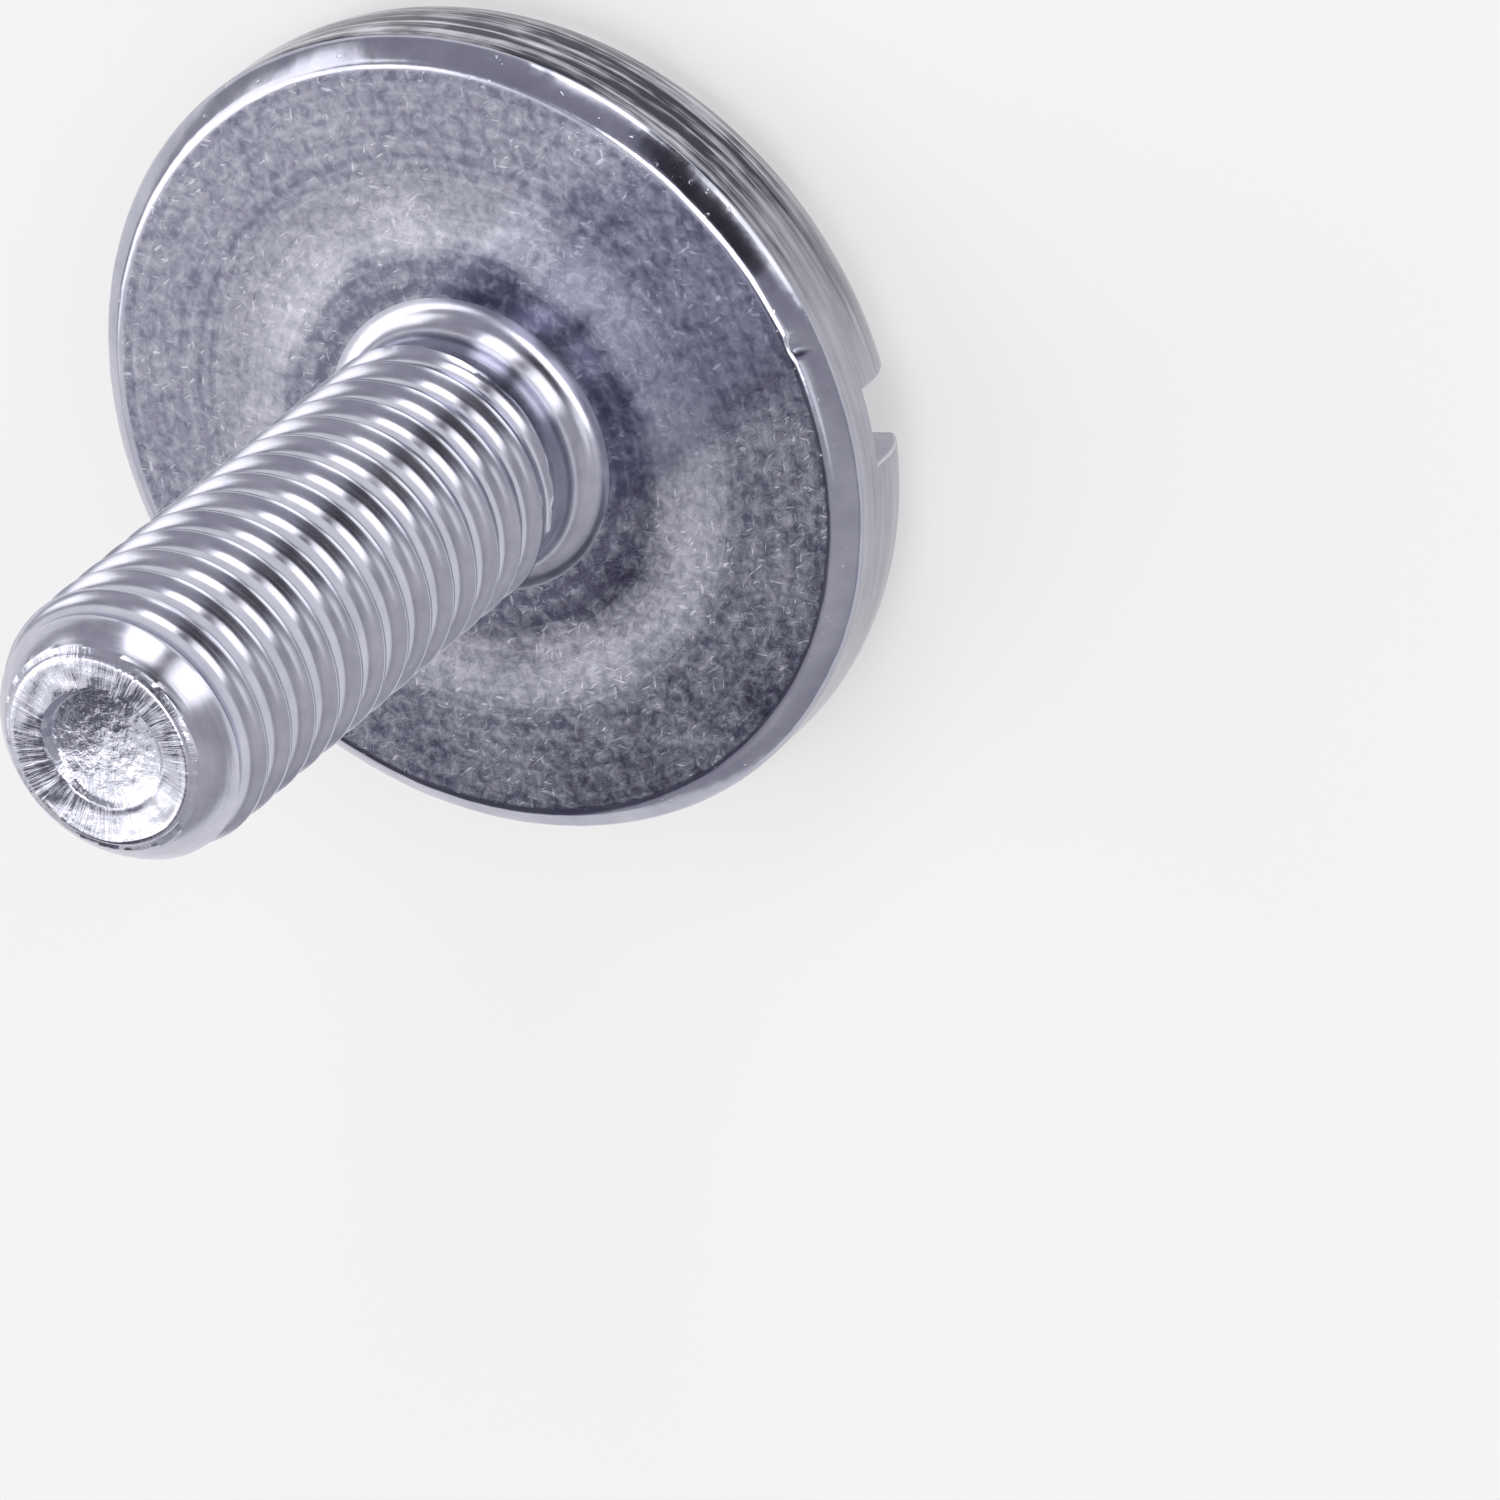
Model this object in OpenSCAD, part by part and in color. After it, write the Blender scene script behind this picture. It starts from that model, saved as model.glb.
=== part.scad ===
// Slotted screw with a large flat head, a rolled metric thread and a cupped tip, turned and rolled from one blank.
// The screw stands on its slotted face: that face lies at z = 0 and the shank points up along +Z.

/* [Head] */
// Widest diameter of the head
head_d = 24.4; // [18:0.1:32]
// Height of the head, from the slotted face to the bearing face
head_h = 3.8; // [3.2:0.1:6]
// Height of the rounded crown between the slotted face and the rim
crown_h = 1.7; // [0.8:0.1:2.2]
// Width of that crown
crown_w = 0.65; // [0.3:0.05:0.75]
// Height of the bevel between the rim and the bearing face
bevel_h = 0.5; // [0.2:0.05:0.8]
// Width of that bevel
bevel_w = 0.65; // [0.2:0.05:1.2]

/* [Slot] */
// Width of the driver slot
slot_w = 2.2; // [1.2:0.1:3]
// Depth of the driver slot from the slotted face
slot_depth = 2.25; // [1.2:0.05:2.6]

/* [Shank] */
// Diameter over the thread's crests, an M8 as made
thread_d = 7.9; // [7:0.05:9]
// Pitch of the thread
pitch = 1.25; // [0.8:0.05:1.5]
// Length from the bearing face to the tip
shank_len = 20; // [14:0.5:40]
// Length of the plain neck under the head, with its fillet
neck_len = 1.6; // [1.3:0.1:3]
// Radius of the fillet between the neck and the bearing face
fillet_r = 0.9; // [0.3:0.05:1.1]
// Height above the bearing face at which the thread's groove starts to sink in
groove_start = 0.96; // [0.8:0.02:2.4]

/* [Tip] */
// Length of the rounded lead
lead_len = 2.8; // [1.8:0.1:4]
// How far the lead draws in from the crests to the edge of the cup
lead_in = 1.3; // [0.8:0.05:1.6]
// Width of the sloping rim inside that edge
cup_rim_w = 0.85; // [0.4:0.05:1.1]
// How far the sloping rim drops
cup_rim_drop = 0.2; // [0.05:0.05:0.5]
// Depth of the bowl inside the sloping rim
cup_bowl = 0.3; // [0.1:0.05:0.6]

/* [Hidden] */

// Fineness of the round outlines, and the number of facets in one turn of the groove
$fn = 96;
turn_facets = 32;
// Overlap of shapes that are joined, and the reach of cuts past what they cut
overlap = 0.1;

// Heights of the bearing face, the tip and the foot of the lead
seat_z = head_h;
tip_z = seat_z + shank_len;
lead_z = tip_z - lead_len;

// Form of a 60 degree metric thread, as shares of its pitch: the blank is rolled at the pitch diameter
flank_angle = 30;
pitch_line = 0.32476 * pitch;
groove_depth = 0.61343 * pitch;
groove_top = 7 / 16 * pitch;
groove_foot = groove_top - groove_depth * tan(flank_angle);

// Radii
head_r = head_d / 2;
thread_r = thread_d / 2;
neck_r = thread_r - pitch_line;
root_r = thread_r - groove_depth;
tip_r = thread_r - lead_in;
bowl_r = tip_r - cup_rim_w;

// Radius of an arc that leaves a straight line smoothly, dz along it, and ends dx beside it
function tangent_r(dx, dz) = (dx * dx + dz * dz) / (2 * dx);

crown_r = tangent_r(crown_w, crown_h);
lead_r = tangent_r(lead_in, lead_len);
ball_r = tangent_r(cup_bowl, bowl_r);

// The cut for the groove stands out past the crests, less than would let its turns meet
groove_over = 0.08 * pitch;
groove_mouth = groove_top + groove_over * tan(flank_angle);
// Turns over which the groove sinks from clear of the shank to its full depth
runin_turns = 1;
groove_turns = (shank_len + pitch - groove_start) / pitch;
groove_steps = ceil(groove_turns * turn_facets);

// Corners of the groove's section, as radius and height from its middle
groove_corners = [
    [root_r, -groove_foot],
    [thread_r + groove_over, -groove_mouth],
    [thread_r + groove_over, groove_mouth],
    [root_r, groove_foot]
];

// The groove's section after a number of steps up the right-hand helix
function groove_section(i) =
    let (
        turns = i / turn_facets,
        z = seat_z + groove_start + pitch * turns,
        lift = (groove_depth + groove_over) * max(0, 1 - turns / runin_turns)
    )
    [for (c = groove_corners) [
        (c[0] + lift) * cos(360 * turns),
        (c[0] + lift) * sin(360 * turns),
        z + c[1]
    ]];

// Half section of the head: flat slotted face, rounded crown, upright rim, bevel and flat bearing face
module head_section() {
    intersection() {
        polygon([
            [0, 0],
            [head_r, 0],
            [head_r, head_h - bevel_h],
            [head_r - bevel_w, head_h],
            [0, head_h]
        ]);
        union() {
            square([head_r - crown_r, head_h]);
            translate([head_r - crown_r, crown_h]) circle(crown_r);
            translate([0, crown_h]) square([head_r, head_h]);
        }
    }
}

// Half section of the shank: neck, shoulder up to the crests, and rounded lead
module shank_section() {
    difference() {
        polygon([
            [0, seat_z - overlap],
            [neck_r, seat_z - overlap],
            [neck_r, seat_z + neck_len],
            [thread_r, seat_z + neck_len + pitch_line],
            [thread_r, tip_z],
            [0, tip_z]
        ]);
        translate([thread_r - lead_r, lead_z]) difference() {
            square([lead_r + overlap, lead_len + overlap]);
            circle(lead_r);
        }
    }
}

// Half section of the fillet that joins the neck to the bearing face
module fillet_section() {
    difference() {
        translate([neck_r - overlap, seat_z - overlap]) square(fillet_r + overlap);
        translate([neck_r + fillet_r, seat_z + fillet_r]) circle(fillet_r);
    }
}

// Half section of the cup that rolling leaves in the tip: a sloping rim round a shallow bowl
module cup_section() {
    rim_z = tip_z - cup_rim_drop;
    polygon([
        [0, rim_z],
        [bowl_r, rim_z],
        [tip_r, tip_z],
        [tip_r, tip_z + overlap],
        [0, tip_z + overlap]
    ]);
    intersection() {
        translate([0, rim_z - cup_bowl + ball_r]) circle(ball_r);
        translate([0, rim_z - cup_bowl]) square([bowl_r, cup_bowl]);
    }
}

// The helical groove that makes the thread, as a band of facets between its sections
module thread_groove() {
    corners = len(groove_corners);
    points = [for (i = [0 : groove_steps]) each groove_section(i)];
    sides = [
        for (i = [0 : groove_steps - 1])
            for (k = [0 : corners - 1])
                let (
                    a = i * corners + k,
                    b = i * corners + (k + 1) % corners,
                    c = b + corners,
                    d = a + corners
                )
                each [[a, b, c], [a, c, d]]
    ];
    first = [[0, 2, 1], [0, 3, 2]];
    last = [for (t = first) [for (k = [2, 1, 0]) groove_steps * corners + t[k]]];
    polyhedron(points, concat(sides, first, last));
}

// The driver slot, right across the head along X
module slot() {
    translate([-head_d, -slot_w / 2, -overlap]) cube([2 * head_d, slot_w, slot_depth + overlap]);
}

module screw() {
    color("silver")
    difference() {
        rotate_extrude() difference() {
            union() {
                head_section();
                shank_section();
                fillet_section();
            }
            cup_section();
        }
        thread_groove();
        slot();
    }
}

screw();
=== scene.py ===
import math

import bmesh
import bpy
import numpy as np
from mathutils import Euler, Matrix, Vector, noise


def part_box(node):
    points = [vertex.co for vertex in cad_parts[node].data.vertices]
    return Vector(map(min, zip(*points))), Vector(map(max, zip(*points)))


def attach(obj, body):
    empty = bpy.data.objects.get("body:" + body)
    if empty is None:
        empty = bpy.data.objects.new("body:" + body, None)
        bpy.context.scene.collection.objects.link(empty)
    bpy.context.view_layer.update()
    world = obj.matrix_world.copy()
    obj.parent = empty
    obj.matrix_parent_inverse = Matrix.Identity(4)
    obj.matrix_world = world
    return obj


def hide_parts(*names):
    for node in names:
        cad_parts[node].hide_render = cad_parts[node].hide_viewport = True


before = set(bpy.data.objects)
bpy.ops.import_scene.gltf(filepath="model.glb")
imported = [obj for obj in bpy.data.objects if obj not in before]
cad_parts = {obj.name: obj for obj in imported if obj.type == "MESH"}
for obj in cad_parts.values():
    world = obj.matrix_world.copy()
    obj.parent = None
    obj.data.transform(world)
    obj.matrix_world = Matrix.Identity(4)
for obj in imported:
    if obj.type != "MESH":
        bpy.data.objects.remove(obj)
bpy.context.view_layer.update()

MM = 0.001

# Sizes of the screw, in metres: its outside from the frame, the rest as in the solid.
# The lead is a little fuller, and the crests, the roots and the cup are drawn finer.
_, screw_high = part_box("screw")
HEAD_R = screw_high.x
TIP_Z = screw_high.z
SEAT_Z = 3.8 * MM
CROWN_H = 1.7 * MM
CROWN_W = 0.65 * MM
BEVEL_H = 0.5 * MM
BEVEL_W = 0.65 * MM
SLOT_W = 2.2 * MM
SLOT_DEPTH = 2.25 * MM
THREAD_R = 3.95 * MM
PITCH = 1.25 * MM
NECK_LEN = 1.6 * MM
FILLET_R = 0.9 * MM
GROOVE_START = 0.96 * MM
LEAD_LEN = 2.2 * MM
LEAD_IN = 1.3 * MM
CUP_RIM_W = 0.85 * MM

# Form of the rolled thread: metric flanks, a groove that starts a little clear of the crests,
# narrow crests with a seam along them, and full round roots
FLANK_SLOPE = math.radians(30)
PITCH_LINE = 0.32476 * PITCH
GROOVE_DEPTH = 0.61343 * PITCH
GROOVE_OVER = 0.08 * PITCH
CREST_HALF = 0.05 * MM
CREST_SEAM = 0.03 * MM
ROOT_ROUND = 0.54 * MM
NECK_R = THREAD_R - PITCH_LINE
TIP_R = THREAD_R - LEAD_IN
BOWL_R = TIP_R - CUP_RIM_W
LEAD_Z = TIP_Z - LEAD_LEN

# Reach of the small rounds on the edges, and how far hand and tool let them waver
SLOT_EDGE = 0.07 * MM
FACE_EDGE = 0.12 * MM
BEVEL_EDGE = 0.13 * MM
SEAT_EDGE = 0.17 * MM
TIP_EDGE = 0.12 * MM
LEAD_EDGE = 0.05 * MM
EDGE_WAVER = 0.025 * MM
CREST_WAVER = 0.008 * MM
TURNED_WAVER = 0.012 * MM
TORN_WAVER = 0.045 * MM
RAGGED_WAVER = 0.6 * TORN_WAVER
FOLD_WAVER = 0.7 * TORN_WAVER

# Waves a millimetre of the bevel's waver, of the crests, and of the turning marks along x, y and z
LONG_WAVES = 0.8
SHORT_WAVES = 2.4
CREST_WAVES = 1.2
TURNED_WAVES = np.array([0.07, 0.07, 5])

# How far the nearest row of points stays from an edge's corner, in reaches of its round
FACE_CLEAR = 2
BEVEL_CLEAR = 1.4
SEAT_CLEAR = 1.6
TIP_CLEAR = 1.2

# Crater in the tip: its deep side, its depth, how far its lip stands over the tip's edge,
# where its deepest place lies from the axis, how far it reaches from there,
# how uneven its outline is, and where its wall starts and ends, counted inwards from that outline
CRATER_SIDE = math.radians(108)
CRATER_DEPTH = 0.42 * MM
CRATER_LIP = 0.08 * MM
CRATER_OFFSET = 0.35 * BOWL_R
CRATER_REACH = 1.35 * BOWL_R
CRATER_UNEVEN = 0.14
CRATER_WALL = (-0.03 * MM, 0.12 * MM)

# Where the roughness of the tip is full: this deep in the crater, this far from the axis,
# and this share of the way in from the tip's edge
ROUGH_DEPTH = 0.2 * MM
ROUGH_R = 0.15 * MM
ROUGH_SHARE = 0.1

# Rim round the crater: its mean slope, and how much steeper it is away from the deep side
RIM_SLOPE = 0.06
RIM_TILT = 0.13

# Shallow dish that heading leaves in the bearing face
DISH_R = 6.8 * MM
DISH_WIDTH = 1.0 * MM
DISH_DEPTH = 0.02 * MM

# Nick in the bevel: its angle from the end of the slot, its radius, how far it lies under the bearing face,
# its size and its depth
NICK_ANGLE = math.radians(15.2)
NICK_R = 11.72 * MM
NICK_DROP = 0.1 * MM
NICK_SIZE = 0.17 * MM
NICK_DEPTH = 0.1 * MM

# Fineness of the mesh: columns round each half of the head and round the shank,
# then rows, points and steps along each surface
HALF_COLUMNS = 200
SHANK_COLUMNS = 160
FACE_POINTS = 9
WALL_ROWS = 4
FLOOR_ROWS = 6
RIM_ROWS = 14
FACE_ROWS = 22
CUP_ROWS = 46
CROWN_STEPS = 12
FILLET_STEPS = 14
ROOT_STEPS = 7
BEND_STEPS = 3

# Rings between which the fine bearing face meets the coarser shank
FACE_RING = 4.75 * MM
FOOT_RING = 4.5 * MM

# Distance within which points are one, length of edges that are dropped, and angle of a sharp edge
WELD_REACH = 0.0004 * MM
SPECK_REACH = 0.0002 * MM
SHARP_ANGLE = math.radians(38)


def tangent_radius(dx, dz):
    """Radius of an arc that leaves a straight line smoothly, dz along it, and ends dx beside it."""
    return (dx * dx + dz * dz) / (2 * dx)


def arc(centre, radius, start, stop, steps):
    """Points on an arc in the half section, from one angle in radians to another."""
    angles = np.linspace(start, stop, steps + 1)
    return np.column_stack([centre[0] + radius * np.cos(angles), centre[1] + radius * np.sin(angles)])


def bend(before, corner, after, reach, steps=BEND_STEPS):
    """A corner of a path, drawn as a short curve that leaves and meets its straight lines smoothly."""
    before, corner, after = np.array(before), np.array(corner), np.array(after)
    start = corner + reach * (before - corner) / np.linalg.norm(before - corner)
    stop = corner + reach * (after - corner) / np.linalg.norm(after - corner)
    t = np.linspace(0, 1, steps + 1)[:, None]
    return (1 - t) ** 2 * start + 2 * t * (1 - t) * corner + t ** 2 * stop


def ring(r, z, angles):
    """Points at a radius and a height, each a number or one value per angle."""
    r, z, angles = np.broadcast_arrays(r, z, angles)
    return np.stack([r * np.cos(angles), r * np.sin(angles), z], axis=-1)


def ripple(points, per_mm):
    """Smooth noise from -1 to 1 at some points, with so many waves a millimetre along x, y and z."""
    places = np.reshape(points, (-1, 3)) / MM * per_mm
    return np.reshape([noise.noise(Vector(p)) for p in places], np.shape(points)[:-1])


def outward(points, distance):
    """Points moved away from the screw's axis by a distance each."""
    radius = np.hypot(points[..., 0], points[..., 1])
    share = 1 + distance / radius
    return np.stack([points[..., 0] * share, points[..., 1] * share, points[..., 2]], axis=-1)


def smooth_step(value, low, high):
    """0 below the low value, 1 above the high one, and a smooth curve between them."""
    t = np.clip((value - low) / (high - low), 0, 1)
    return t * t * (3 - 2 * t)


class Skin:
    """Patches of faces, each with the finish it wears, that are welded into one closed mesh."""

    def __init__(self):
        self.points = []
        self.faces = []
        self.wears = []
        self.finishes = []

    def add(self, points, faces, finish):
        """A patch of points and of faces between them, all with one finish."""
        start = sum(len(p) for p in self.points)
        if finish not in self.finishes:
            self.finishes.append(finish)
        self.points.append(np.reshape(points, (-1, 3)))
        self.faces += [[start + i for i in face] for face in faces]
        self.wears += [self.finishes.index(finish)] * len(faces)

    def sheet(self, grid, finish, closed=False):
        """A grid of points, row by row. A closed one joins its last column to its first."""
        grid = np.asarray(grid)
        rows, columns = grid.shape[:2]
        steps = columns if closed else columns - 1
        faces = [
            (i * columns + j, i * columns + (j + 1) % columns,
             (i + 1) * columns + (j + 1) % columns, (i + 1) * columns + j)
            for i in range(rows - 1)
            for j in range(steps)
        ]
        self.add(grid, faces, finish)

    def zipped(self, outer, inner, finish):
        """Triangles between two rings of different fineness, both counted from the angle 0."""
        points = np.concatenate([outer, inner])
        count_a, count_b = len(outer), len(inner)
        turn_a = np.unwrap(np.arctan2(outer[:, 1], outer[:, 0]))
        turn_b = np.unwrap(np.arctan2(inner[:, 1], inner[:, 0]))
        faces = []
        a, b = 0, 0
        while a < count_a or b < count_b:
            next_a = turn_a[a + 1] if a + 1 < count_a else turn_a[0] + 2 * math.pi
            next_b = turn_b[b + 1] if b + 1 < count_b else turn_b[0] + 2 * math.pi
            here_a, here_b = a % count_a, count_a + b % count_b
            if b >= count_b or (a < count_a and next_a <= next_b):
                faces.append((here_a, (a + 1) % count_a, here_b))
                a += 1
            else:
                faces.append((here_a, count_a + (b + 1) % count_b, here_b))
                b += 1
        self.add(points, faces, finish)

    def helix(self, grid, rows_per_turn, finish):
        """A grid whose last column joins its first, one turn further up."""
        rows, columns = grid.shape[:2]
        faces = []
        for i in range(rows - 1):
            for j in range(columns):
                k, up = (j + 1, i) if j + 1 < columns else (0, i + rows_per_turn)
                if up + 1 < rows:
                    here, beside = i * columns + j, up * columns + k
                    faces.append((here, beside, beside + columns, here + columns))
        self.add(grid, faces, finish)

    def welded(self, name):
        """The patches as one mesh object."""
        mesh = bpy.data.meshes.new(name)
        mesh.from_pydata(np.concatenate(self.points).tolist(), [], self.faces)
        mesh.polygons.foreach_set("material_index", self.wears)
        bm = bmesh.new()
        bm.from_mesh(mesh)
        bmesh.ops.remove_doubles(bm, verts=bm.verts, dist=WELD_REACH)
        bmesh.ops.dissolve_degenerate(bm, edges=bm.edges, dist=SPECK_REACH)
        bmesh.ops.recalc_face_normals(bm, faces=bm.faces)
        open_edges = sum(len(e.link_faces) != 2 for e in bm.edges)
        print("screw mesh:", len(bm.verts), "points,", len(bm.faces), "faces,", open_edges, "open edges")
        for face in bm.faces:
            face.smooth = True
        bm.to_mesh(mesh)
        bm.free()
        mesh.set_sharp_from_angle(angle=SHARP_ANGLE)
        piece = bpy.data.objects.new(name, mesh)
        bpy.context.scene.collection.objects.link(piece)
        return piece


# Arcs of the crown and of the lead, and how far from its middle the slot's rounded edge begins
crown_r = tangent_radius(CROWN_W, CROWN_H)
crown_centre = (HEAD_R - crown_r, CROWN_H)
crown_start = -math.asin(CROWN_H / crown_r)
lead_r = tangent_radius(LEAD_IN, LEAD_LEN)
slot_side = SLOT_W / 2 + SLOT_EDGE


def slotted_path():
    """Half section over the slotted face and the crown, from the slot's edge to its floor on the rim."""
    face_edge_r = HEAD_R - CROWN_W
    crown = arc(crown_centre, crown_r, crown_start, 0, CROWN_STEPS)
    along = np.linspace(slot_side, face_edge_r - FACE_CLEAR * FACE_EDGE, FACE_POINTS)
    face = np.column_stack([along, 0 * along])
    edge = bend(face[-1], (face_edge_r, 0), crown[1], FACE_EDGE)
    rim_heights = np.linspace(CROWN_H, SLOT_DEPTH, WALL_ROWS + 1)[1:]
    rim = np.column_stack([np.full(WALL_ROWS, HEAD_R), rim_heights])
    return np.concatenate([face, edge, crown[1:], rim])


def path_normals(path):
    """Outward normals of a half section that runs out along the face and up the rim."""
    along = np.gradient(path, axis=0)
    along /= np.linalg.norm(along, axis=1)[:, None]
    return np.column_stack([along[:, 1], -along[:, 0]])


def slotted_side(skin):
    """The slotted face in two halves, with the slot's edges, walls and floor. Returns the rim's angles."""
    path = slotted_path()
    normals = path_normals(path)
    top = len(path) - WALL_ROWS
    normals[0] = (0, -1)
    normals[top - 1:] = (1, 0)
    r, z = path[:, 0], path[:, 1]
    first = np.arcsin(np.clip(slot_side / r, 0, 1))
    share = np.linspace(0, 1, HALF_COLUMNS + 1)
    angles = first[:, None] + (math.pi - 2 * first[:, None]) * share
    half = ring(r[:, None], z[:, None], angles)
    turns = np.radians(np.linspace(0, 90, BEND_STEPS + 1))
    ends = []
    for end in (0, -1):
        # Rounded edge of the slot: an arc about a line that lies inside the face by the edge's radius
        edge = half[:, end]
        way = 1 if end == 0 else -1
        facing = np.column_stack([way * normals[:, 0], 0 * r, normals[:, 1]])
        centre = edge - SLOT_EDGE * facing
        from_face = np.cos(turns)[None, :, None] * facing[:, None]
        to_wall = np.sin(turns)[None, :, None] * np.array([0, -1, 0])
        ends.append(centre[:, None] + SLOT_EDGE * (from_face + to_wall))
    # Wall of the slot, from its rounded edge to its floor
    wall_edges = [e[:, -1] for e in ends]
    outline = np.concatenate([wall_edges[1][:top][::-1], wall_edges[0][1:top]])
    depth_share = np.linspace(0, 1, WALL_ROWS + 1)
    wall = np.repeat(outline[:, None], WALL_ROWS + 1, axis=1)
    wall[:, :, 2] += (SLOT_DEPTH - outline[:, 2])[:, None] * depth_share
    for mirror in (np.array([1, 1, 1]), np.array([1, -1, 1])):
        skin.sheet(half[:FACE_POINTS] * mirror, "slotted_face")
        skin.sheet(half[FACE_POINTS - 1:] * mirror, "turned_rim")
        for edge in ends:
            skin.sheet(edge * mirror, "slot_edge")
        skin.sheet(wall * mirror, "slot_wall")
    # Floor of the slot, and its ends out to the round rim
    across = np.linspace(-SLOT_W / 2, SLOT_W / 2, FLOOR_ROWS + 1)
    level = np.full(len(across), SLOT_DEPTH)
    floor = np.stack([np.column_stack([np.full(len(across), x), across, level]) for x in outline[:, 0]])
    skin.sheet(floor, "slot_wall")
    corner = ends[0][-1]
    inner = np.concatenate([corner[:-1] * [1, -1, 1], floor[-1], corner[:-1][::-1]])
    outer = np.column_stack([np.sqrt(HEAD_R ** 2 - inner[:, 1] ** 2), inner[:, 1], inner[:, 2]])
    for way in (1, -1):
        skin.sheet(np.stack([inner, outer]) * [way, 1, 1], "slot_wall")
    gap = np.arcsin(outer[1:-1, 1] / HEAD_R)
    upper = angles[-1]
    return np.concatenate([gap[gap >= 0], upper, math.pi + gap, math.pi + upper, 2 * math.pi + gap[gap < 0]])


def nicked(points):
    """Points round the bevel, with those at the nick pushed in."""
    place = ring(NICK_R, SEAT_Z - NICK_DROP, [NICK_ANGLE])[0]
    away = np.linalg.norm(points - place, axis=-1)
    dent = NICK_DEPTH * np.exp(-(away / NICK_SIZE) ** 2)
    return outward(points, -dent) - dent[..., None] * np.array([0, 0, 1])


def rim_and_bearing_face(skin, angles):
    """The upright rim, the bevel and the ring under the head. Returns its innermost ring of points."""
    bevel_foot = (HEAD_R, SEAT_Z - BEVEL_H)
    bevel_top = (HEAD_R - BEVEL_W, SEAT_Z)
    rim_heights = np.linspace(SLOT_DEPTH, SEAT_Z - BEVEL_H - BEVEL_CLEAR * BEVEL_EDGE, RIM_ROWS)
    rim = np.array([ring(HEAD_R, z, angles) for z in rim_heights])
    # Long shallow marks of the turning tool, none at the row that meets the slot
    marks = TURNED_WAVER * np.minimum(0, ripple(rim, TURNED_WAVES))
    marks[0] = 0
    rim = outward(rim, marks)
    lower = bend((HEAD_R, rim_heights[-1]), bevel_foot, bevel_top, BEVEL_EDGE)
    upper = bend(bevel_foot, bevel_top, (0, SEAT_Z), SEAT_EDGE)
    bevel = np.array([ring(r, z, angles) for r, z in np.concatenate([lower, upper])])
    waver = EDGE_WAVER * (0.6 * ripple(bevel, LONG_WAVES) + 0.4 * ripple(bevel, SHORT_WAVES)) - EDGE_WAVER
    waver[0] = marks[-1]
    bevel = nicked(outward(bevel, waver))
    skin.sheet(np.concatenate([rim, bevel[:2]]), "turned_rim", closed=True)
    skin.sheet(bevel[1:], "bevel", closed=True)
    radii = np.linspace(bevel_top[0] - SEAT_CLEAR * SEAT_EDGE, FACE_RING, FACE_ROWS)
    dish = DISH_DEPTH * np.exp(-((radii - DISH_R) / DISH_WIDTH) ** 2)
    face = np.array([ring(r, SEAT_Z - drop, angles) for r, drop in zip(radii, dish)])
    skin.sheet(np.concatenate([bevel[-1:], face]), "bearing_face", closed=True)
    return face[-1]


def neck(skin, angles, face_ring):
    """The fillet from the bearing face up to the plain neck. Returns the height at which it ends."""
    foot = ring(FOOT_RING, SEAT_Z, angles)
    skin.zipped(face_ring, foot, "bearing_face")
    centre = (NECK_R + FILLET_R, SEAT_Z + FILLET_R)
    fillet = arc(centre, FILLET_R, -math.pi / 2, -math.pi, FILLET_STEPS)
    skin.sheet([foot] + [ring(r, z, angles) for r, z in fillet], "rolled_thread", closed=True)
    return fillet[-1][1]


def thread_section():
    """One pitch of the thread from root to root, as heights from its crest and depths under it."""
    flanks_meet = (PITCH / 2 - CREST_HALF) / math.tan(FLANK_SLOPE)
    round_centre = (-PITCH / 2, flanks_meet - ROOT_ROUND / math.sin(FLANK_SLOPE))
    root = arc(round_centre, ROOT_ROUND, math.pi / 2, FLANK_SLOPE, ROOT_STEPS)
    lip = (-0.5 * CREST_HALF, 0)
    crest = bend(root[-1], (-CREST_HALF, 0), lip, 0.5 * CREST_HALF)
    rising = np.concatenate([root, crest, [(0, CREST_SEAM)]])
    return np.concatenate([rising, rising[-2:0:-1] * [-1, 1]])


def shoulder_radius(z):
    """Radius of the neck and of the shoulder where the thread begins."""
    return NECK_R + np.clip(z - SEAT_Z - NECK_LEN, 0, PITCH_LINE)


def lead_radius(z):
    """Radius over the crests, which the rounded lead draws in towards the tip."""
    rise = np.clip(z - LEAD_Z, 0, LEAD_LEN)
    return THREAD_R - lead_r + np.sqrt(lead_r ** 2 - rise ** 2)


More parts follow.
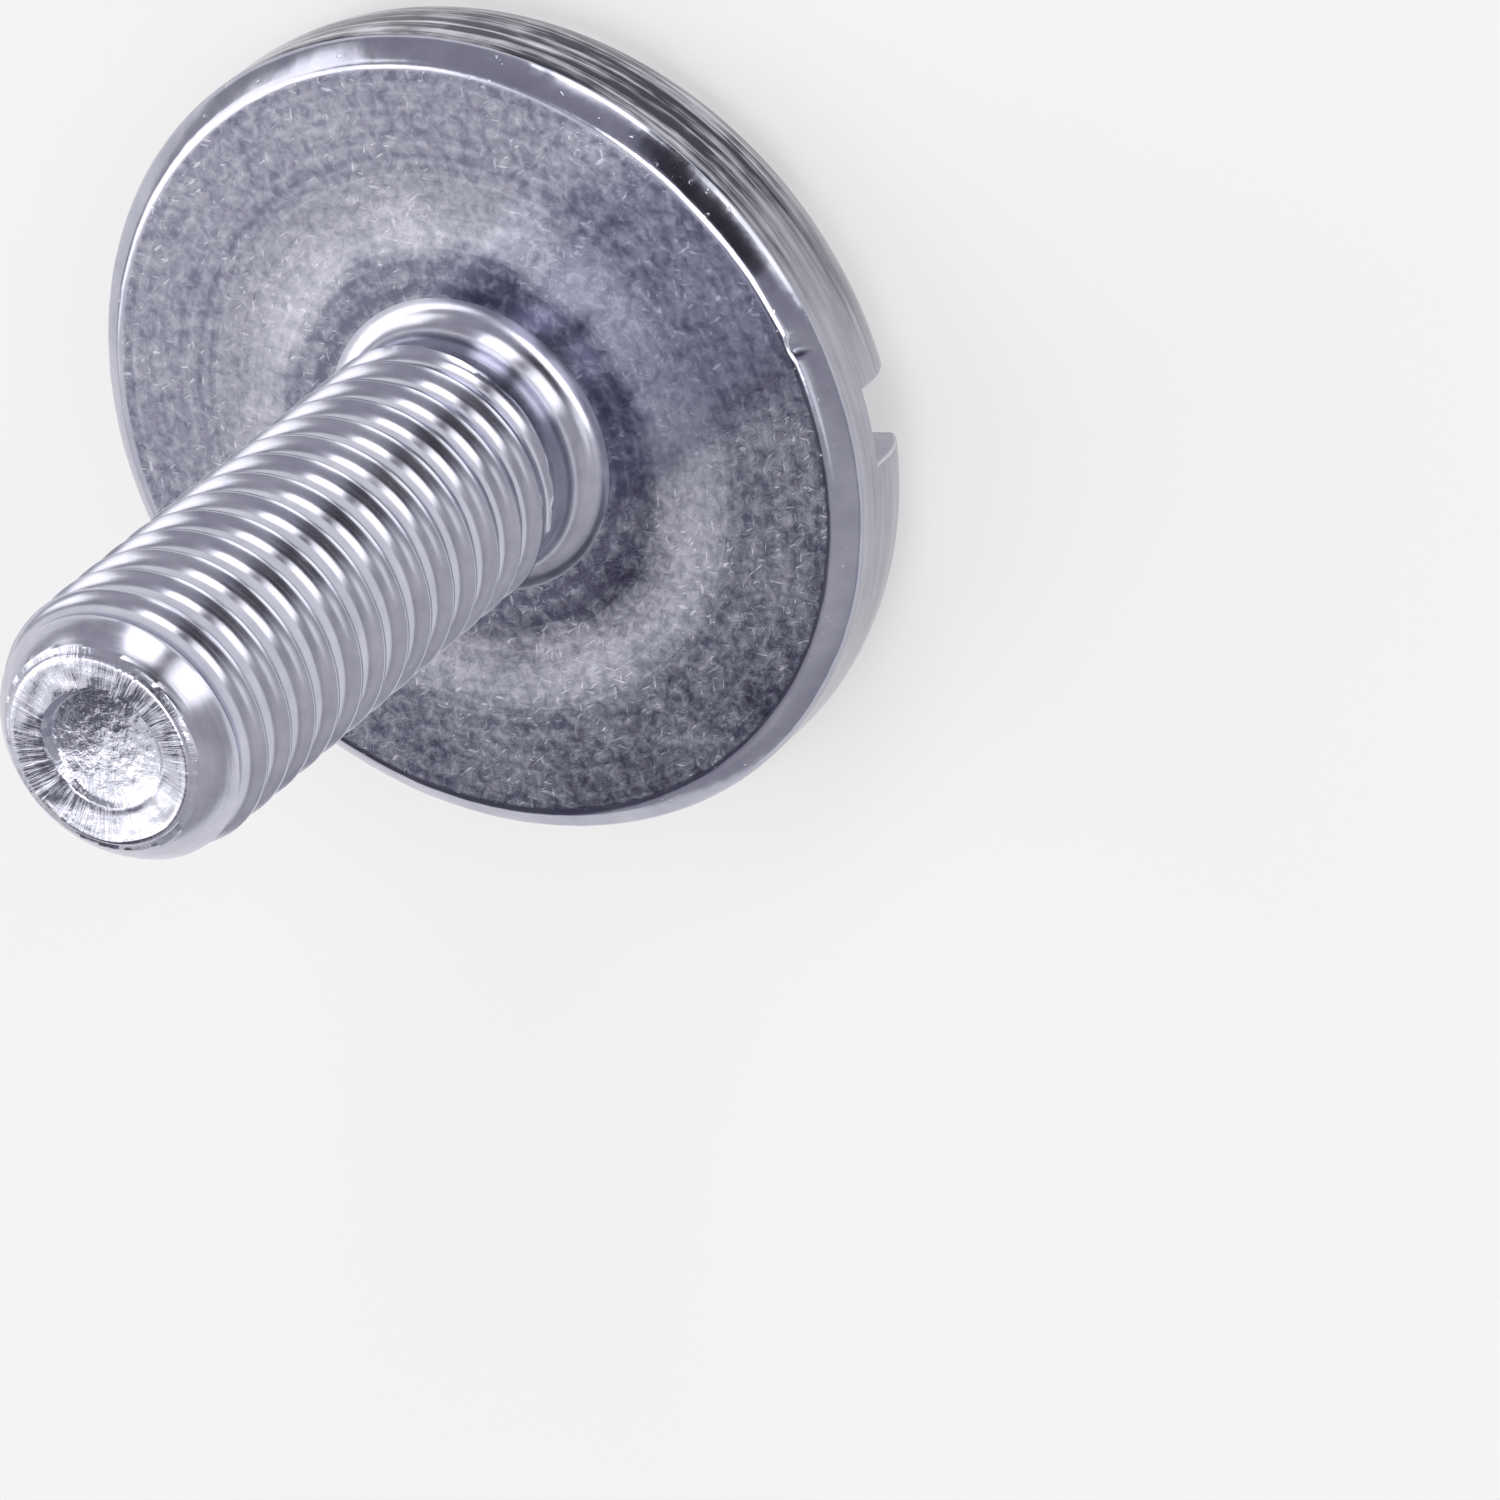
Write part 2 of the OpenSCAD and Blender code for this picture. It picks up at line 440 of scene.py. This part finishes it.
def thread(skin, angles, start_z):
    """The rolled thread from the neck to the tip. Returns the ring of points where the tip begins."""
    section = thread_section()
    stop_z = TIP_Z - CRATER_LIP - TIP_CLEAR * TIP_EDGE
    first_crest = SEAT_Z + GROOVE_START - PITCH / 2
    turns = np.arange(-1, math.ceil((stop_z - first_crest) / PITCH) + 2)
    height = np.concatenate([first_crest + PITCH * turn + section[:, 0] for turn in turns])
    depth = np.tile(section[:, 1], len(turns))[:, None]
    sunk = np.concatenate([turn - 1 + (section[:, 0] > 0) for turn in turns])
    wound = angles / (2 * math.pi)
    z = np.clip(height[:, None] + PITCH * wound, start_z, stop_z)
    # The groove sinks in over its first turn, and the lead cuts across the crests
    lift = (GROOVE_DEPTH + GROOVE_OVER) * np.maximum(0, 1 - (sunk[:, None] + wound))
    grid = ring(THREAD_R, z, angles)
    uneven = CREST_WAVER * ripple(grid, CREST_WAVES) * (depth < 2 * CREST_SEAM)
    crests = lead_radius(z)
    groove = THREAD_R - depth + lift
    worn = np.maximum(0, LEAD_EDGE - np.abs(crests - groove)) ** 2 / (4 * LEAD_EDGE)
    r = np.minimum(np.minimum(crests, groove) - worn + uneven - CREST_WAVER, shoulder_radius(z))
    r = np.where(z <= start_z, shoulder_radius(start_z), r)
    r = np.where(z >= stop_z, lead_radius(stop_z), r)
    skin.helix(ring(r, z, angles), len(section), "rolled_thread")
    return ring(lead_radius(stop_z), stop_z, angles)


def cup(skin, angles, tip_ring):
    """The tip: a ragged edge, a sloping rim in folds, and a torn crater that is deepest to one side."""
    side = np.cos(angles - CRATER_SIDE)
    lean = RIM_SLOPE - RIM_TILT * side
    edge_z = TIP_Z - CRATER_LIP
    edge_r = lead_radius(edge_z)
    edge = bend((THREAD_R, LEAD_Z), (edge_r, edge_z), (BOWL_R, edge_z), TIP_EDGE)
    ragged = RAGGED_WAVER * ripple(ring(1.0 * MM, 0, angles), 2.0)
    rows = [tip_ring] + [ring(r + i / BEND_STEPS * ragged, z, angles) for i, (r, z) in enumerate(edge)]
    share = np.linspace(0, 1, CUP_ROWS)[1:, None]
    r = (edge[-1][0] + ragged) * (1 - share)
    flat = ring(r, 0, angles)
    torn_edge = BOWL_R * (1 + CRATER_UNEVEN * ripple(ring(0.6 * MM, 0, angles), 1.0))
    inside = smooth_step(torn_edge - r, *CRATER_WALL)
    rim = edge_z - lean * np.minimum(edge_r - r, CUP_RIM_W)
    deepest = CRATER_OFFSET * np.array([math.cos(CRATER_SIDE), math.sin(CRATER_SIDE), 0])
    away = np.linalg.norm(flat - deepest, axis=-1) / CRATER_REACH
    bowl = CRATER_DEPTH * np.maximum(0, 1 - away ** 2)
    rough = RAGGED_WAVER * (ripple(flat, 1.7) + 0.5 * ripple(flat, 4.3)) * smooth_step(bowl, 0, ROUGH_DEPTH)
    folds = FOLD_WAVER * ripple(ring(1.0 * MM, 0.4 * r, angles), 5.0)
    # Both fade out at the tip's edge and at the axis, where all the columns meet in one point
    keep = smooth_step(share, 0, ROUGH_SHARE) * smooth_step(r, 0, ROUGH_R)
    level = smooth_step(r, 0, BOWL_R)
    rim = rim * level + (1 - level) * np.mean(rim[-1])
    z = np.minimum(rim - bowl * inside + (rough * inside + folds * (1 - inside)) * keep, TIP_Z)
    rows += list(ring(r, z, angles))
    skin.sheet(rows, "torn_tip", closed=True)


def build_screw():
    """The screw as one mesh object, and the names of its finishes in the order of its material slots."""
    skin = Skin()
    rim_angles = slotted_side(skin)
    face_ring = rim_and_bearing_face(skin, rim_angles)
    shank_angles = np.linspace(0, 2 * math.pi, SHANK_COLUMNS, endpoint=False)
    start_z = neck(skin, shank_angles, face_ring)
    tip_ring = thread(skin, shank_angles, start_z)
    cup(skin, shank_angles, tip_ring)
    return skin.welded("zinc_screw"), skin.finishes


class Wire:
    """An output in a shader tree. Arithmetic on it adds the nodes that work the result out."""

    def __init__(self, tree, socket=None):
        self.tree = tree
        self.socket = socket

    def node(self, kind, settings={}, sockets={}, output=0):
        """A new node with its settings, and values or wires at its sockets. Gives one of its outputs."""
        made = self.tree.nodes.new(kind)
        for name, value in settings.items():
            setattr(made, name, value)
        for name, value in sockets.items():
            if isinstance(value, Wire):
                self.tree.links.new(value.socket, made.inputs[name])
            else:
                made.inputs[name].default_value = value
        return Wire(self.tree, made.outputs[output])

    def feed(self, node_name, socket_name):
        """Joins this wire to a socket of a node that the tree already has."""
        self.tree.links.new(self.socket, self.tree.nodes[node_name].inputs[socket_name])

    def maths(self, operation, *values):
        """The result of one operation on some values or wires."""
        return self.node("ShaderNodeMath", {"operation": operation}, dict(enumerate(values)))

    def __add__(self, other):
        return self.maths("ADD", self, other)

    def __radd__(self, other):
        return self.maths("ADD", other, self)

    def __sub__(self, other):
        return self.maths("SUBTRACT", self, other)

    def __rsub__(self, other):
        return self.maths("SUBTRACT", other, self)

    def __mul__(self, other):
        return self.maths("MULTIPLY", self, other)

    def __rmul__(self, other):
        return self.maths("MULTIPLY", other, self)

    def __truediv__(self, other):
        return self.maths("DIVIDE", self, other)

    def __abs__(self):
        return self.maths("ABSOLUTE", self)

    def step(self, low, high):
        """0 at the low value, 1 at the high one, and a smooth curve between them."""
        settings = {"interpolation_type": "SMOOTHSTEP"}
        return self.node("ShaderNodeMapRange", settings, {0: self, 1: low, 2: high, 3: 0.0, 4: 1.0})

    def mix(self, at_zero, at_one):
        """A colour between two colours, by this factor."""
        return self.node("ShaderNodeMix", {"data_type": "RGBA"}, {0: self, 6: at_zero, 7: at_one}, 2)

    def spread(self, stretch):
        """This place, multiplied along each axis."""
        return self.node("ShaderNodeVectorMath", {"operation": "MULTIPLY"}, {0: self, 1: stretch})

    def turned(self, angle):
        """This place, turned about the screw's axis by an angle in degrees."""
        sockets = {"Vector": self, "Angle": math.radians(angle)}
        return self.node("ShaderNodeVectorRotate", {"rotation_type": "Z_AXIS"}, sockets)

    def cloud(self, stretch, detail=3.0, rough=0.6, warp=0.0):
        """Noise from 0 to 1 over this place, with so many waves a millimetre along each axis."""
        settings = {"noise_dimensions": "2D" if len(stretch) == 2 else "3D"}
        place = self.spread((*stretch, 0.0)[:3])
        sockets = {"Vector": place, "Scale": 1.0, "Detail": detail, "Roughness": rough, "Distortion": warp}
        return self.node("ShaderNodeTexNoise", settings, sockets)

    def parts(self):
        """The x, y and z of this place."""
        split = self.node("ShaderNodeSeparateXYZ", {}, {0: self}).socket.node
        return [Wire(self.tree, split.outputs[i]) for i in range(3)]


# Tones of the zinc plating: bright, dull, and the darkest patches of the bearing face and of the rim, which
# on the rim lie mostly on its side of painted dark reflection
BRIGHT_ZINC = (0.82, 0.82, 0.91, 1)
DULL_ZINC = (0.30, 0.30, 0.39, 1)
DARK_FACE = (0.19, 0.19, 0.27, 1)
DARK_RIM = (0.06, 0.06, 0.08, 1)

# Share of a wave of noise that a scratch takes up, and the width of its soft sides in that noise
SCRATCH_WAVE = 0.6
SCRATCH_SIDE = 0.08

# Way towards the side of the rim on which a dark reflection is painted
SHADED_SIDE_X, SHADED_SIDE_Y = 0.44, 0.9


def zinc_place(material):
    """The place on the screw in millimetres, for a new material."""
    material.use_nodes = True
    place = Wire(material.node_tree).node("ShaderNodeTexCoord", output="Object")
    return place.spread((1 / MM, 1 / MM, 1 / MM))


def plated(material, tone, roughness, height, relief, darkest=DULL_ZINC):
    """Finishes a zinc surface by its tone, its roughness, and a height that stands out by the relief."""
    material.node_tree.nodes["Principled BSDF"].inputs["Metallic"].default_value = 1.0
    tone.mix(darkest, BRIGHT_ZINC).feed("Principled BSDF", "Base Color")
    roughness.feed("Principled BSDF", "Roughness")
    bump = height.node("ShaderNodeBump", {}, {"Strength": 1.0, "Distance": relief, "Height": height})
    bump.feed("Principled BSDF", "Normal")


def scratches(here, headings, length, width, rare=0.66):
    """Straight scratches in some headings, so many millimetres long and wide. A higher rare makes fewer."""
    waves = (SCRATCH_WAVE / length, SCRATCH_WAVE / width)
    marks = 0.0
    for heading in headings:
        marks = marks + here.turned(heading).cloud(waves, detail=0.0).step(rare, rare + SCRATCH_SIDE)
    return marks.maths("MINIMUM", marks, 1.0)


def bearing_face(material):
    """Mottled plating in rings, with ticks and faint arcs, with painted shade at the neck and a pale ring of
    painted reflection half way out.
    """
    here = zinc_place(material)
    x, y, _ = here.parts()
    r = x.maths("SQRT", x * x + y * y)
    patches = here.cloud((0.35, 0.35), 3.0, 0.6)
    mottle = here.cloud((2.6, 2.6), 4.0, 0.66, 0.3)
    arcs = r.node("ShaderNodeTexNoise", {"noise_dimensions": "1D"}, {"W": r, "Scale": 3.0, "Detail": 3.0})
    # Painted reflection: a pale ring half way out. Painted shade: the face is darker towards the neck.
    uneven = r + 1.2 * (patches - 0.5)
    painted_reflection_ring = uneven.step(5.6, 6.3) * uneven.step(8.6, 7.3) * (0.5 + patches)
    painted_shade_ring = uneven.step(6.3, 5.0)
    ticks = scratches(here, (12, 95, 150), 0.3, 0.09, 0.79) * patches.step(0.35, 0.55)
    tone = 0.28 + 0.45 * (patches - 0.5) + 1.2 * (mottle - 0.5) + 0.45 * (arcs - 0.5)
    tone = tone + 0.36 * painted_reflection_ring - 0.15 * painted_shade_ring + 0.4 * ticks
    roughness = 0.19 + 0.14 * (patches - 0.5) + 0.16 * (mottle - 0.5) + 0.05 * painted_reflection_ring
    height = mottle + 0.3 * arcs - 0.3 * ticks
    plated(material, tone, roughness, height, 0.004 * MM, DARK_FACE)


def turned_rim(material):
    """Streaked plating over the long marks of the turning tool, with a dark reflection painted on one side.
    """
    here = zinc_place(material)
    long_marks = here.cloud((0.08, 0.08, 4.0), 5.0, 0.75)
    patches = here.cloud((0.4, 0.4, 1.2), 3.0, 0.6)
    x, y, _ = here.parts()
    # Painted dark reflection: one side of the rim is darkened, and its marks and mottle show stronger there
    toward_shaded_side = SHADED_SIDE_X * x + SHADED_SIDE_Y * y + 6.0 * (here.cloud((0.14, 0.14, 0.4), 2.0) - 0.5)
    painted_dark_side = toward_shaded_side.step(8.0, 11.2)
    streaks = (0.6 + 3.8 * painted_dark_side) * (long_marks - 0.5)
    mottle = (0.3 + 1.9 * painted_dark_side) * (patches - 0.5)
    tone = 0.5 - 0.35 * painted_dark_side + streaks + mottle
    roughness = 0.17 + 0.1 * (patches - 0.5)
    plated(material, tone, roughness, long_marks, 0.012 * MM, DARK_RIM)


def bevel(material):
    """Smooth dull plating with small bright specks where it was knocked."""
    here = zinc_place(material)
    patches = here.cloud((0.7, 0.7, 0.7), 3.0, 0.6)
    specks = here.cloud((3.5, 3.5, 3.5), 2.0, 0.6).step(0.68, 0.74)
    tone = 0.35 + 0.6 * (patches - 0.5) + 0.4 * specks
    roughness = 0.14 + 0.1 * (patches - 0.5)
    plated(material, tone, roughness, patches - 0.3 * specks, 0.012 * MM)


def rolled_thread(material):
    """Smooth bright plating, burnished by the rolls, with faint flow lines along the thread."""
    here = zinc_place(material)
    flow = here.cloud((0.35, 0.35, 6.0), 2.0, 0.6)
    patches = here.cloud((0.9, 0.9, 0.9), 3.0, 0.6)
    tone = 0.56 + 0.3 * (flow - 0.5) + 0.5 * (patches - 0.5)
    roughness = 0.21 + 0.12 * (patches - 0.5) + 0.08 * (flow - 0.5)
    height = 0.5 * flow + 0.5 * patches
    plated(material, tone, roughness, height, 0.008 * MM)


def torn_tip(material):
    """Bright torn metal: wrinkles round the bowl and grains in it, rays on the rim."""
    here = zinc_place(material)
    x, y, _ = here.parts()
    r = x.maths("SQRT", x * x + y * y)
    on_rim = r.step(1.65, 1.9)
    # Noise over the heading from the axis and over r: fine in heading it makes rays, fine in r wrinkles
    spokes = r.node("ShaderNodeCombineXYZ", {}, {0: 13.0 * x / r, 1: 13.0 * y / r, 2: 0.5 * r})
    rays = spokes.cloud((1.0, 1.0, 1.0), 3.0, 0.6)
    rounds = r.node("ShaderNodeCombineXYZ", {}, {0: 1.3 * x / r, 1: 1.3 * y / r, 2: 5.0 * r})
    wrinkles = rounds.cloud((1.0, 1.0, 1.0), 4.0, 0.65, 0.8)
    grains = here.cloud((7.0, 7.0), 2.0, 0.6)
    folded = on_rim * (0.5 + 0.5 * here.cloud((0.9, 0.9), 1.0).step(0.35, 0.6))
    tone = 0.6 + 0.5 * (wrinkles - 0.5) + 0.5 * (rays - 0.5) * folded
    roughness = 0.22 + 0.15 * (grains - 0.5)
    height = (0.35 * wrinkles + 0.4 * grains) * (1 - 0.7 * on_rim) + 0.9 * rays * folded
    plated(material, tone, roughness, height, 0.04 * MM)


def slotted_face(material):
    """Cloudy plating with patches of crossed scratches."""
    here = zinc_place(material)
    patches = here.cloud((0.22, 0.22), 3.0, 0.6)
    crystals = here.cloud((2.4, 2.4), 4.0, 0.65, 0.8)
    scuffed = here.cloud((0.18, 0.18), 2.0).step(0.48, 0.62)
    marks = scratches(here, (25, 70, 160), 3.0, 0.1)
    tone = 0.42 + 0.45 * (patches - 0.5) + 0.35 * (crystals - 0.5) + 0.4 * marks * scuffed
    roughness = 0.2 + 0.16 * (patches - 0.5) + 0.12 * (crystals - 0.5)
    height = 0.4 * crystals - 0.6 * marks
    plated(material, tone, roughness, height, 0.005 * MM)


def slot_wall(material):
    """Plating over the straight marks of the slotting saw."""
    here = zinc_place(material)
    sawn = here.cloud((0.12, 4.0, 9.0), 4.0, 0.6)
    patches = here.cloud((0.5, 0.5, 0.5), 3.0, 0.6)
    tone = 0.42 + 0.4 * (sawn - 0.5) + 0.4 * (patches - 0.5)
    roughness = 0.22 + 0.14 * (patches - 0.5)
    plated(material, tone, roughness, sawn, 0.014 * MM)


def slot_edge(material):
    """Bright rubbed edge with a fine uneven burr."""
    here = zinc_place(material)
    burr = here.cloud((2.2, 6.0, 6.0), 4.0, 0.6)
    tone = 0.75 + 0.4 * (burr - 0.5)
    roughness = 0.16 + 0.1 * (burr - 0.5)
    plated(material, tone, roughness, burr, 0.02 * MM)


FINISHES = {
    "bearing_face": bearing_face,
    "turned_rim": turned_rim,
    "bevel": bevel,
    "rolled_thread": rolled_thread,
    "torn_tip": torn_tip,
    "slotted_face": slotted_face,
    "slot_wall": slot_wall,
    "slot_edge": slot_edge,
}

screw, finishes = build_screw()
for finish in finishes:
    material = bpy.data.materials.new(finish)
    FINISHES[finish](material)
    screw.data.materials.append(material)
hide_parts("screw")
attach(screw, "root")

# Camera of the photograph: where it stands from the centre of the bearing face, how it is turned from there,
# and its lens and sensor in millimetres
CAMERA_AZIMUTH = math.radians(33.27)
CAMERA_ELEVATION = math.radians(50.48)
CAMERA_DISTANCE = 253.2 * MM
CAMERA_TURN = [math.radians(a) for a in (-1.939, -1.789, -129.52)]
LENS = 216
SENSOR = 36


def direction(azimuth, elevation):
    """Unit vector towards an azimuth and an elevation in radians."""
    level = math.cos(elevation)
    return Vector((level * math.cos(azimuth), level * math.sin(azimuth), math.sin(elevation)))


away = direction(CAMERA_AZIMUTH, CAMERA_ELEVATION)
camera = bpy.data.objects.new("camera", bpy.data.cameras.new("camera"))
camera.data.lens = LENS
camera.data.sensor_width = SENSOR
camera.data.clip_start = 10 * MM
camera.location = Vector((0, 0, SEAT_Z)) + CAMERA_DISTANCE * away
camera.rotation_mode = "QUATERNION"
camera.rotation_quaternion = away.to_track_quat("Z", "Y") @ Euler(CAMERA_TURN, "XYZ").to_quaternion()
bpy.context.scene.collection.objects.link(camera)
bpy.context.scene.camera = camera

# Pale floor, just under the slotted face: seen straight or in the metal, its shadows are light
FLOOR_REACH = 3.0
FLOOR_Z = -0.02 * MM
FLOOR_TONE = (0.85, 0.85, 0.85, 1)
FLOOR_LIFT = 0.5
WHITE = (1, 1, 1, 1)


def pale_floor():
    """The floor, part of which glows for the camera and for reflections, so that shadows stay light."""
    corners = [(x * FLOOR_REACH, y * FLOOR_REACH, FLOOR_Z) for x, y in ((-1, -1), (1, -1), (1, 1), (-1, 1))]
    mesh = bpy.data.meshes.new("pale_floor")
    mesh.from_pydata(corners, [], [(0, 1, 2, 3)])
    material = bpy.data.materials.new("pale_floor")
    material.use_nodes = True
    tree = Wire(material.node_tree)
    camera_ray = tree.node("ShaderNodeLightPath", output="Is Camera Ray")
    glossy_ray = tree.node("ShaderNodeLightPath", output="Is Glossy Ray")
    clear_ray = tree.node("ShaderNodeLightPath", output="Is Transmission Ray")
    seen = tree.maths("MINIMUM", camera_ray + glossy_ray + clear_ray, 1.0)
    matt = tree.node("ShaderNodeBsdfDiffuse", {}, {"Color": FLOOR_TONE})
    glow = tree.node("ShaderNodeEmission", {}, {"Color": WHITE, "Strength": 1.0})
    mixed = tree.node("ShaderNodeMixShader", {}, {0: seen * FLOOR_LIFT, 1: matt, 2: glow})
    mixed.feed("Material Output", "Surface")
    mesh.materials.append(material)
    floor = bpy.data.objects.new("pale_floor", mesh)
    bpy.context.scene.collection.objects.link(floor)


pale_floor()

# Studio round the screw: its even walls, the horizon below them and the elevations between which they blend,
# and the tint of what is dark, up to the brightness from which it is white
WALLS = 0.45
HORIZON = 0.888
HORIZON_BAND = (2.5, 6.0)
DARK_TINT = (0.72, 0.71, 1, 1)
WHITE_FROM = 0.7

# Walls, a dark flag, windows and softboxes as patches of the sky, each laid over those before it.
# Each has its middle azimuth from the camera's and half its width, its lowest and highest elevation,
# the width of its soft edge, all in degrees, and its brightness.
STUDIO = [
    ("right wall", -95, 40, 20, 70, 16, 0.56),
    ("far left wall", 168, 12.5, 8, 74, 2, 0.93),
    ("far glow", 186, 8, 30, 70, 8, 1.45),
    ("far right wall", -165.5, 14, 8, 74, 2, 0.12),
    ("left wall", 70, 36, 8, 74, 10, 0.41),
    ("left window", 146, 15, 18, 64, 6, 2.2),
    ("low left window", 118, 16, 20, 46, 10, 1.9),
    ("right softbox", -58, 20, 54, 72, 8, 1.15),
    ("black flag", 8, 26, 0, 74, 12, 0.04),
    ("left softbox", 42, 14, 3, 40, 6, 2.8),
    ("front softbox", -4, 17, 3, 44, 8, 2.0),
    ("overhead softbox", 0, 360, 76, 95, 4, 4.5),
]


def studio_sky():
    """The sky that lights the screw and that its metal mirrors."""
    world = bpy.data.worlds.new("studio")
    bpy.context.scene.world = world
    world.use_nodes = True
    x, y, z = Wire(world.node_tree).node("ShaderNodeTexCoord", output="Generated").parts()
    ahead = math.cos(CAMERA_AZIMUTH) * x + math.sin(CAMERA_AZIMUTH) * y
    aside = math.cos(CAMERA_AZIMUTH) * y - math.sin(CAMERA_AZIMUTH) * x
    azimuth = x.maths("ARCTAN2", aside, ahead) * math.degrees(1)
    elevation = x.maths("ARCSINE", z) * math.degrees(1)
    light = WALLS
    for _, middle, half, low, high, soft, brightness in STUDIO:
        turn = abs(x.maths("WRAP", azimuth - middle, 180.0, -180.0))
        wide = turn.step(half + soft / 2, half - soft / 2)
        over_low = elevation.step(low - soft / 2, low + soft / 2)
        under_high = elevation.step(high + soft / 2, high - soft / 2)
        inside = wide * (over_low * under_high)
        light = x.node("ShaderNodeMix", {}, {0: inside, 2: light, 3: brightness})
    above = elevation.step(*HORIZON_BAND)
    light = HORIZON + above * (light - HORIZON)
    light.step(0.0, WHITE_FROM).mix(DARK_TINT, WHITE).feed("Background", "Color")
    light.feed("Background", "Strength")


studio_sky()
bpy.context.scene.view_settings.view_transform = "Standard"
